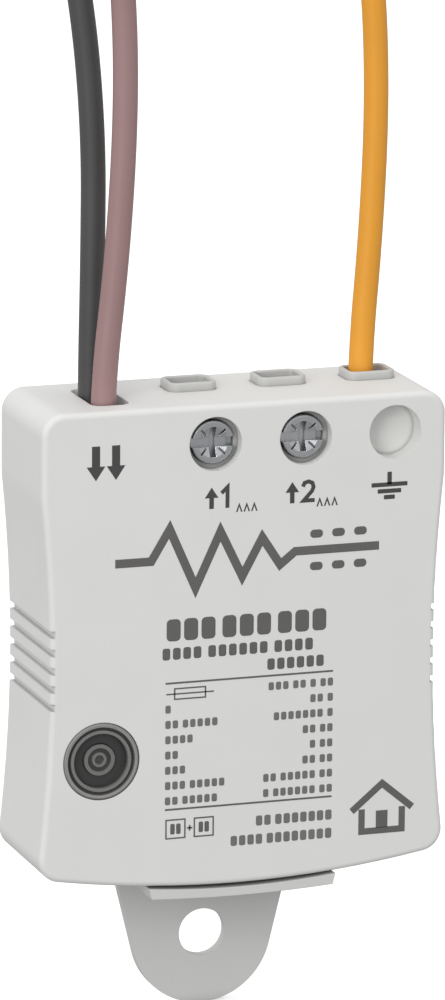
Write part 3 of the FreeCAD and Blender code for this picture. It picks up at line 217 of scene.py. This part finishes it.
def painted_light_by_distance(n):
    """Painted highlight and shade of the bands by the distance from the indicator's axis."""
    apart = n.add("ShaderNodeVectorMath", operation="SUBTRACT")
    n.join(n.place, apart.inputs[0])
    apart.inputs[1].default_value = (LAMP_X * MM, 0.0, LAMP_Z * MM)
    flat = n.add("ShaderNodeVectorMath", operation="MULTIPLY")
    n.join(apart.outputs["Vector"], flat.inputs[0])
    flat.inputs[1].default_value = (1.0, 0.0, 1.0)
    away = n.add("ShaderNodeVectorMath", operation="LENGTH")
    n.join(flat.outputs["Vector"], away.inputs[0])

    reach = LAMP_LIT_AND_SHADED_BANDS[-1][0]
    stops = []
    start = 0.0
    for end, tone in LAMP_LIT_AND_SHADED_BANDS:
        stops += [(start, tone), (end - BAND_BLUR, tone)]
        start = end + BAND_BLUR
    bands = n.add("ShaderNodeValToRGB")
    ramp = bands.color_ramp.elements
    ramp[0].position, ramp[1].position = 0.0, 1.0
    for place, _ in stops[1:-1]:
        ramp.new(place / reach)
    for element, (_, tone) in zip(ramp, stops):
        element.color = (*shade(BAND_TINT, tone), 1.0)
    n.join(n.ranged(away.outputs["Value"], 0.0, reach * MM), bands.inputs["Fac"])
    return bands.outputs["Color"]


def make_ringed_finish(name, rough):
    """Dark plastic with painted highlights on its raised rings and painted shade in its hollows.
    """
    n = Nodes(name)
    cloud = n.ranged(n.noise(0.0012, 4.0), 0.35, 0.65)
    dust = n.mix(cloud, (0.8, 0.8, 0.8), (1.0, 1.0, 1.0))
    tone = n.mix(BAND_DUST, painted_light_by_distance(n), dust, blend="MULTIPLY")
    n.join(tone, n.shader.inputs["Base Color"])
    n.grain(n.noise(0.0003, 2.0), n.edges(0.0001)[1], rough)
    return n.material


FINISHES = {
    "shell_plastic": make_finish("shell_plastic", (0.77, 0.77, 0.755), 0.55, spread=0.012,
                                 height=0.000006, edge_highlight=1.03, crevice_shade=0.45),
    # colour set darker than the shell's as painted shade on the lug and flange
    "base_plastic": make_finish("base_plastic", (0.655, 0.655, 0.64), 0.55, spread=0.015,
                                height=0.000006, crevice_shade=0.6, crevice_shade_reach=0.003),
    # colour darker than the shell's: partly the collars' own greyer tone, partly painted shade on
    # their front walls
    "block_plastic": make_finish("block_plastic", (0.56, 0.56, 0.547), 0.5, spread=0.015,
                                 height=0.000006, edge_highlight=1.3, crevice_shade=0.6, crevice_shade_reach=0.002),
    "dark_plastic": make_ringed_finish("dark_plastic", 0.42),
    "lens_plastic": make_ringed_finish("lens_plastic", 0.30),
    "natural_plastic": make_finish("natural_plastic", (0.72, 0.69, 0.62), 0.5),
    "zinc_steel": make_finish("zinc_steel", (0.56, 0.57, 0.59), 0.27, metal=1.0, spread=0.07,
                              edge_highlight=1.5, edge_radius=0.00012, bump=0.25, rough_spread=0.07,
                              crevice_shade=0.45, crevice_shade_reach=0.001),
    "spring_steel": make_finish("spring_steel", (0.42, 0.42, 0.43), 0.32, metal=1.0),
    "tinned_copper": make_finish("tinned_copper", (0.70, 0.69, 0.66), 0.3, metal=1.0),
    "bare_copper": make_finish("bare_copper", (0.80, 0.41, 0.24), 0.28, metal=1.0, spread=0.1),
    "board_laminate": make_finish("board_laminate", (0.05, 0.20, 0.09), 0.35, spread=0.1),
    "fish_paper": make_finish("fish_paper", (0.50, 0.53, 0.56), 0.75, spread=0.06, bump=0.4),
    "varistor_epoxy": make_finish("varistor_epoxy", (0.05, 0.12, 0.34), 0.3, grain=0.0008),
    "fuse_ceramic": make_finish("fuse_ceramic", (0.74, 0.72, 0.66), 0.45),
    "tube_ceramic": make_finish("tube_ceramic", (0.78, 0.74, 0.70), 0.25),
    "capacitor_case": make_finish("capacitor_case", (0.66, 0.50, 0.10), 0.42),
    "resistor_body": make_finish("resistor_body", (0.55, 0.40, 0.24), 0.3),
    "diode_body": make_finish("diode_body", (0.03, 0.03, 0.03), 0.35),
    "lamp_epoxy": make_finish("lamp_epoxy", (0.12, 0.50, 0.14), 0.12),
    "pvc_black": make_finish("pvc_black", (0.068, 0.068, 0.068), 0.42, spread=0.08,
                             grain=0.0005, edge_highlight=1.5),
    "pvc_brown": make_finish("pvc_brown", (0.345, 0.210, 0.210), 0.45, spread=0.03, grain=0.0005),
    "pvc_yellow": make_finish("pvc_yellow", (0.83, 0.36, 0.028), 0.45, spread=0.03,
                              grain=0.0005),
}


def paint(obj, slot):
    """Gives a piece its finish."""
    finish = FINISHES[slot]
    if obj.type == "MESH" and len(obj.material_slots):
        for place in obj.material_slots:
            place.material = finish
    else:
        obj.data.materials.append(finish)


for part in frame["record"]["subparts"]:
    paint(frame["nodes"][part["node"]], part["material_slot"])

# ---------------------------------------------------------------- leads

LEAD_DIAMETER = 3.0 * MM
LEAD_ROUTES = {
    "black": [(-16.5, -6.9, 60.2), (-16.5, -6.9, 71.5), (-16.2, -6.9, 86.5), (-16.1, -6.8, 102.0),
              (-17.6, -6.5, 118.5), (-21.3, -5.8, 137.0), (-27.0, -4.8, 154.5),
              (-32.6, -3.8, 167.5)],
    "brown": [(-16.5, -11.5, 60.2), (-16.5, -11.5, 71.0), (-14.6, -11.5, 87.5),
              (-13.6, -11.5, 104.0), (-13.85, -11.6, 118.0), (-15.6, -11.9, 135.0),
              (-19.0, -12.4, 152.0), (-23.4, -13.0, 166.5)],
    "earth": [(18.05, -6.15, 60.2), (18.05, -6.15, 72.0), (19.35, -6.15, 88.0),
              (19.95, -6.1, 104.0), (19.3, -6.0, 119.0), (16.9, -5.6, 136.0),
              (13.0, -5.1, 152.0), (8.2, -4.5, 166.0)],
}
LEAD_SLOTS = {"black": "pvc_black", "brown": "pvc_brown", "earth": "pvc_yellow"}
STRAND_R = 0.16 * MM
STRAND_SINK = 0.3 * MM  # strands start this far inside the insulation
STRAND_RINGS = ((0, 1), (1, 6), (2, 12))  # ring number, strands in it
STRAND_PITCH = 14.0 * MM  # one turn of the lay
TIP_LENGTH = 8.0 * MM


def link(name, data):
    """New object for the data, in the scene."""
    made = bpy.data.objects.new(name, data)
    COLLECTION.objects.link(made)
    return made


def make_strands(name, start, ahead):
    """Twisted copper strands that stick out of a stripped lead."""
    side = ahead.orthogonal().normalized()
    other = ahead.cross(side)
    mesh = bmesh.new()
    steps, sides = 20, 8
    for ring, count in STRAND_RINGS:
        away = 2 * STRAND_R * ring
        for strand in range(count):
            rows = []
            for step in range(steps + 1):
                along = TIP_LENGTH * (step / steps)
                angle = math.tau * (strand / count + along / STRAND_PITCH)
                outward = side * math.cos(angle) + other * math.sin(angle)
                around = other * math.cos(angle) - side * math.sin(angle)
                middle = start + ahead * along + outward * away
                rows.append([mesh.verts.new(middle + (
                    outward * math.cos(math.tau * k / sides)
                    + around * math.sin(math.tau * k / sides)) * STRAND_R)
                    for k in range(sides)])
            for low, high in zip(rows, rows[1:]):
                for k in range(sides):
                    mesh.faces.new((low[k], low[(k + 1) % sides], high[(k + 1) % sides], high[k]))
            mesh.faces.new(rows[0][::-1])
            mesh.faces.new(rows[-1])
    bmesh.ops.recalc_face_normals(mesh, faces=mesh.faces)
    data = bpy.data.meshes.new(name)
    mesh.to_mesh(data)
    mesh.free()
    for face in data.polygons:
        face.use_smooth = len(face.vertices) == 4
    return link(name, data)


def make_lead(colour):
    """Insulated lead along its route, with the bare strands at its far end."""
    route = [Vector(p) * MM for p in LEAD_ROUTES[colour]]
    curve = bpy.data.curves.new("lead_line_" + colour, "CURVE")
    curve.dimensions = "3D"
    spline = curve.splines.new("NURBS")
    spline.points.add(len(route) - 1)
    for point, place in zip(spline.points, route):
        point.co = (*place, 1.0)
    spline.order_u = 3
    spline.use_endpoint_u = True
    spline.resolution_u = 16
    curve.bevel_depth = LEAD_DIAMETER / 2
    curve.bevel_resolution = 10
    curve.use_fill_caps = True
    lead = link("insulation_" + colour, curve)
    paint(lead, LEAD_SLOTS[colour])
    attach(lead, "housing")
    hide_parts("lead_" + colour)

    ahead = (route[-1] - route[-2]).normalized()
    strands = make_strands("strands_" + colour, route[-1] - ahead * STRAND_SINK, ahead)
    paint(strands, "bare_copper")
    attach(strands, "housing")
    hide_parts("core_outer_" + colour)


for lead_colour in LEAD_ROUTES:
    make_lead(lead_colour)

# ---------------------------------------------------------------- printed marks

FACE_Y = -16.70  # front face
PRINT_BACK, PRINT_FRONT = FACE_Y + 0.01, FACE_Y - 0.025  # the ink sits a little proud
CORNER_STEPS = 4  # straight pieces in a rounded corner
MITRE_LIMIT = 0.4  # keeps a stroke's sharp corner from shooting out
TABLE_LEFT, TABLE_RIGHT = -10.0, 11.3  # ends of the two rules
HAIRLINE = 0.17
BLOCK_ROUND = 0.3  # corner radius over the shorter side


class Print:
    """Thin raised plates on the front face; x to the right, z up, in mm."""

    def __init__(self):
        self.mesh = bmesh.new()

    def rows(self, points):
        """The outline's corners at the front of the ink and at its back."""
        return [[self.mesh.verts.new(Vector((x, y, z)) * MM) for x, z in points]
                for y in (PRINT_FRONT, PRINT_BACK)]

    def walls(self, front, back, closed=True):
        last = len(front) if closed else len(front) - 1
        for i in range(last):
            j = (i + 1) % len(front)
            self.mesh.faces.new((front[i], front[j], back[j], back[i]))

    def plate(self, points):
        front, back = self.rows(points)
        self.mesh.faces.new(front)
        self.mesh.faces.new(back[::-1])
        self.walls(front, back)

    def pill(self, x, z, wide, high, round_off=0.45):
        """Plate with round corners, from its lower left corner."""
        r = min(wide, high) * round_off
        points = []
        for turn, (cx, cz) in enumerate(((x + wide - r, z + high - r), (x + r, z + high - r),
                                         (x + r, z + r), (x + wide - r, z + r))):
            for step in range(CORNER_STEPS + 1):
                angle = math.radians(90 * (turn + step / CORNER_STEPS))
                points.append((cx + r * math.cos(angle), cz + r * math.sin(angle)))
        self.plate(points)

    def line(self, points, wide, closed=False):
        """Stroke with mitred corners."""
        spots = [Vector(p) for p in points]
        count = len(spots)
        left, right = [], []
        for i, spot in enumerate(spots):
            ahead = spots[(i + 1) % count] - spot if closed or i < count - 1 else None
            behind = spot - spots[i - 1] if closed or i > 0 else None
            ahead = (ahead or behind).normalized()
            behind = (behind or ahead).normalized()
            across = Vector((-ahead.y - behind.y, ahead.x + behind.x)).normalized()
            reach = wide / 2 / max(MITRE_LIMIT, across.dot(Vector((-ahead.y, ahead.x))))
            left.append(spot + across * reach)
            right.append(spot - across * reach)
        (left_front, left_back), (right_front, right_back) = self.rows(left), self.rows(right)
        for i in range(count if closed else count - 1):
            j = (i + 1) % count
            self.mesh.faces.new((left_front[i], left_front[j], right_front[j], right_front[i]))
            self.mesh.faces.new((left_back[j], left_back[i], right_back[i], right_back[j]))
        self.walls(left_front, left_back, closed)
        self.walls(right_front, right_back, closed)
        if not closed:
            for i in (0, -1):
                self.mesh.faces.new((left_front[i], left_back[i], right_back[i], right_front[i]))

    def arrow(self, x, z, wide, high, shaft, up=True):
        """Solid arrow from the middle of its lower end."""
        head = min(high * 0.55, wide * 0.75)
        points = [(-shaft, 0), (shaft, 0), (shaft, high - head), (wide / 2, high - head),
                  (0, high), (-wide / 2, high - head), (-shaft, high - head)]
        if not up:
            points = [(px, high - pz) for px, pz in reversed(points)]
        self.plate([(x + px, z + pz) for px, pz in points])

    def blocks(self, x, z, count, size, gap, high):
        """Run of blocks that stands for a word; returns the x where it ends."""
        for _ in range(count):
            self.pill(x, z, size, high, BLOCK_ROUND)
            x += size + gap
        return x - gap

    def words(self, z, counts, size, gap, space, high, left=None):
        """Row of words in blocks, from its left end or else up to the table's right end."""
        blocks = sum(counts)
        long = blocks * size + (blocks - len(counts)) * gap + (len(counts) - 1) * space
        x = TABLE_RIGHT - long if left is None else left
        for count in counts:
            x = self.blocks(x, z, count, size, gap, high) + space

    def finish(self, name, slot):
        bmesh.ops.recalc_face_normals(self.mesh, faces=self.mesh.faces)
        data = bpy.data.meshes.new(name)
        self.mesh.to_mesh(data)
        self.mesh.free()
        made = link(name, data)
        made.data.materials.append(INKS[slot])
        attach(made, "housing")
        return made


INKS = {
    "dark": make_finish("ink_dark", (0.060, 0.060, 0.060), 0.6, spread=0.06, edge_highlight=1.3),
    "grey": make_finish("ink_grey", (0.125, 0.123, 0.120), 0.6, spread=0.06, edge_highlight=1.2),
    "pale": make_finish("ink_pale", (0.170, 0.170, 0.166), 0.6, spread=0.06, edge_highlight=1.2),
}

DIGITS = {
    "1": [(0.0, 1.85), (0.75, 2.55), (0.75, 0.0)],
    "2": [(0.1, 1.95), (0.3, 2.4), (0.8, 2.55), (1.3, 2.35), (1.45, 1.85), (1.25, 1.35),
          (0.2, 0.22), (1.6, 0.22)],
}


def make_supply_mark():
    """Two arrows down into the housing, below the supply leads."""
    ink = Print()
    for x in (-18.85, -16.35):
        ink.arrow(x, 61.7, 2.3, 4.2, 0.5, up=False)
    ink.finish("print_supply", "dark")


def make_output_marks():
    """An arrow up, the output's number and three small chevrons, below each screw."""
    ink = Print()
    low, chevron_low, chevron_high, chevron_half = 57.35, 56.75, 57.65, 0.32
    for x, digit in ((-5.2, "1"), (5.0, "2")):
        ink.arrow(x + 0.85, low, 1.7, 2.6, 0.28)
        ink.line([(x + 2.1 + px, low + pz) for px, pz in DIGITS[digit]], 0.48)
        for step in range(3):
            foot = x + 4.35 + step * 0.95
            ink.line([(foot - chevron_half, chevron_low), (foot, chevron_high),
                      (foot + chevron_half, chevron_low)], HAIRLINE)
    ink.finish("print_outputs", "dark")


def make_earth_mark():
    """Earth symbol: a stem and three bars that get shorter."""
    ink = Print()
    middle, bar = 18.25, 0.52
    ink.line([(middle, 58.9), (middle, 60.4)], 0.55)
    for z, half in ((58.85, 2.3), (58.05, 1.5), (57.3, 0.7)):
        ink.pill(middle - half, z - bar / 2, half * 2, bar, 0.2)
    ink.finish("print_earth", "dark")


def make_emblem():
    """Surge that dies away: a plain damped pulse."""
    ink = Print()
    ink.line([(-16.4, 51.4), (-11.9, 51.4), (-9.6, 55.2), (-6.3, 47.8), (-3.2, 54.5), (-0.4, 48.8),
              (2.1, 53.4), (4.4, 49.9), (6.3, 51.4), (17.0, 51.4)], 1.05)
    for x in (8.2, 11.0, 13.8):
        ink.pill(x, 52.9, 1.6, 1.0)
        ink.pill(x, 48.9, 1.6, 1.0)
    ink.finish("print_emblem", "grey")


def make_name_rows():
    """Three rows of even blocks where a name would be."""
    ink = Print()
    ink.words(41.4, (3, 3, 3), 1.75, 0.45, 0.9, 2.7, left=-9.9)
    ink.words(39.1, (4, 6, 4), 0.95, 0.36, 0.9, 1.45, left=-10.4)
    ink.words(36.95, (6,), 0.92, 0.33, 0.9, 1.4, left=2.9)
    ink.finish("print_name", "grey")


def make_rules():
    """A rule above the ratings and one below them."""
    ink = Print()
    for z in (36.1, 20.4):
        ink.pill(TABLE_LEFT, z, TABLE_RIGHT - TABLE_LEFT, 0.22, 0.2)
    ink.finish("print_rules", "grey")


ROW_TOP, ROW_PITCH = 34.4, 1.9
RATING_ROWS = [  # words at the left and at the right, in blocks
    ((), (3, 2, 1, 2)), ((1,), (2, 1)), ((2, 5), (7, 1)), ((4,), (2, 2)), ((2,), (1, 2)),
    ((3,), (2, 2)), ((3, 5), (2, 5, 2)), ((2, 5), (1, 6, 2)),
]
LOW_ROWS = [(17.6, (2, 7)), (15.3, (4, 8))]  # z, and words in blocks


def make_rating_rows():
    """Eight rows of blocks in place of the ratings, and two larger ones below."""
    ink = Print()
    for row, (left, right) in enumerate(RATING_ROWS):
        z = ROW_TOP - ROW_PITCH * row
        ink.words(z, left, 0.66, 0.27, 0.62, 0.98, left=TABLE_LEFT)
        ink.words(z, right, 0.66, 0.27, 0.62, 0.98)
    for z, words in LOW_ROWS:
        ink.words(z, words, 0.8, 0.27, 0.6, 1.25)
    ink.finish("print_ratings", "pale")


def make_symbols():
    """Fuse symbol, two boxes with a plus, and a plain house."""
    ink = Print()
    ink.line([(-9.9, 34.85), (-3.9, 34.85)], HAIRLINE)
    ink.line([(-8.85, 34.2), (-4.95, 34.2), (-4.95, 35.5), (-8.85, 35.5)], HAIRLINE, closed=True)
    for x in (-9.85, -6.25):
        ink.line([(x, 16.9), (x + 2.4, 16.9), (x + 2.4, 19.2), (x, 19.2)], HAIRLINE, closed=True)
        ink.blocks(x + 0.55, 17.4, 2, 0.55, 0.2, 1.3)
    ink.line([(-7.2, 18.05), (-6.5, 18.05)], 0.2)
    ink.line([(-6.85, 17.7), (-6.85, 18.4)], 0.2)
    ink.line([(13.9, 18.35), (17.8, 21.6), (21.7, 18.35)], 0.85)
    ink.line([(15.2, 18.5), (15.2, 15.7), (20.4, 15.7), (20.4, 18.5)], 0.8)
    ink.plate([(17.05, 16.05), (18.55, 16.05), (18.55, 18.2), (17.05, 18.2)])
    ink.finish("print_symbols", "grey")


make_supply_mark()
make_output_marks()
make_earth_mark()
make_emblem()
make_name_rows()
make_rules()
make_rating_rows()
make_symbols()

# ---------------------------------------------------------------- floor and light

FLOOR_REACH = 6.0
FLOOR_GLOW = 0.45
SKY_LOW, SKY_HIGH = 0.40, 0.84  # strength of the light from below and from above


def make_floor():
    """Plain pale floor, too bright to show more than a faint shadow."""
    mesh = bmesh.new()
    corners = [mesh.verts.new((x * FLOOR_REACH, y * FLOOR_REACH, CAD_LOW.z))
               for x, y in ((-1, -1), (1, -1), (1, 1), (-1, 1))]
    mesh.faces.new(corners)
    data = bpy.data.meshes.new("floor")
    mesh.to_mesh(data)
    mesh.free()
    floor = link("floor", data)
    n = Nodes("floor_paint")
    tone = n.mix(n.ranged(n.noise(0.3), 0.3, 0.7), (0.90, 0.90, 0.90), (0.92, 0.92, 0.92))
    n.join(tone, n.shader.inputs["Base Color"])
    n.shader.inputs["Roughness"].default_value = 0.9
    n.shader.inputs["Emission Color"].default_value = (1.0, 1.0, 1.0, 1.0)
    n.shader.inputs["Emission Strength"].default_value = FLOOR_GLOW
    data.materials.append(n.material)
    floor.visible_diffuse = False
    floor.visible_glossy = False


LIGHT_AIM = Vector((0.0, 0.0, 0.05))  # a little above the lug


def make_area_light(name, place, size, power):
    """Rectangular light in metres and watts, turned to the object."""
    data = bpy.data.lights.new(name, "AREA")
    data.shape = "RECTANGLE"
    data.size, data.size_y = size
    data.energy = power
    light = link(name, data)
    light.location = place
    light.rotation_euler = (Vector(place) - LIGHT_AIM).to_track_quat("Z", "Y").to_euler()


def make_world():
    """Soft studio: light from above, less from below."""
    world = bpy.data.worlds.new("studio")
    world.use_nodes = True
    tree = world.node_tree
    backdrop = tree.nodes["Background"]
    place = tree.nodes.new("ShaderNodeTexCoord")
    split = tree.nodes.new("ShaderNodeSeparateXYZ")
    ramp = tree.nodes.new("ShaderNodeMapRange")
    ramp.interpolation_type = "SMOOTHSTEP"
    for key, value in (("From Min", -0.5), ("From Max", 0.6),
                       ("To Min", SKY_LOW), ("To Max", SKY_HIGH)):
        ramp.inputs[key].default_value = value
    tree.links.new(place.outputs["Generated"], split.inputs["Vector"])
    tree.links.new(split.outputs["Z"], ramp.inputs["Value"])
    tree.links.new(ramp.outputs["Result"], backdrop.inputs["Strength"])
    backdrop.inputs["Color"].default_value = (1.0, 1.0, 1.0, 1.0)
    SCENE.world = world


make_floor()
make_world()
make_area_light("overhead", (-0.08, -0.18, 0.50), (0.30, 0.30), 0.25)
make_area_light("left_front", (-0.59, -0.64, 0.33), (0.35, 0.35), 2.75)

# the finished looks are shown in plain display colours
SCENE.view_settings.view_transform = "Standard"
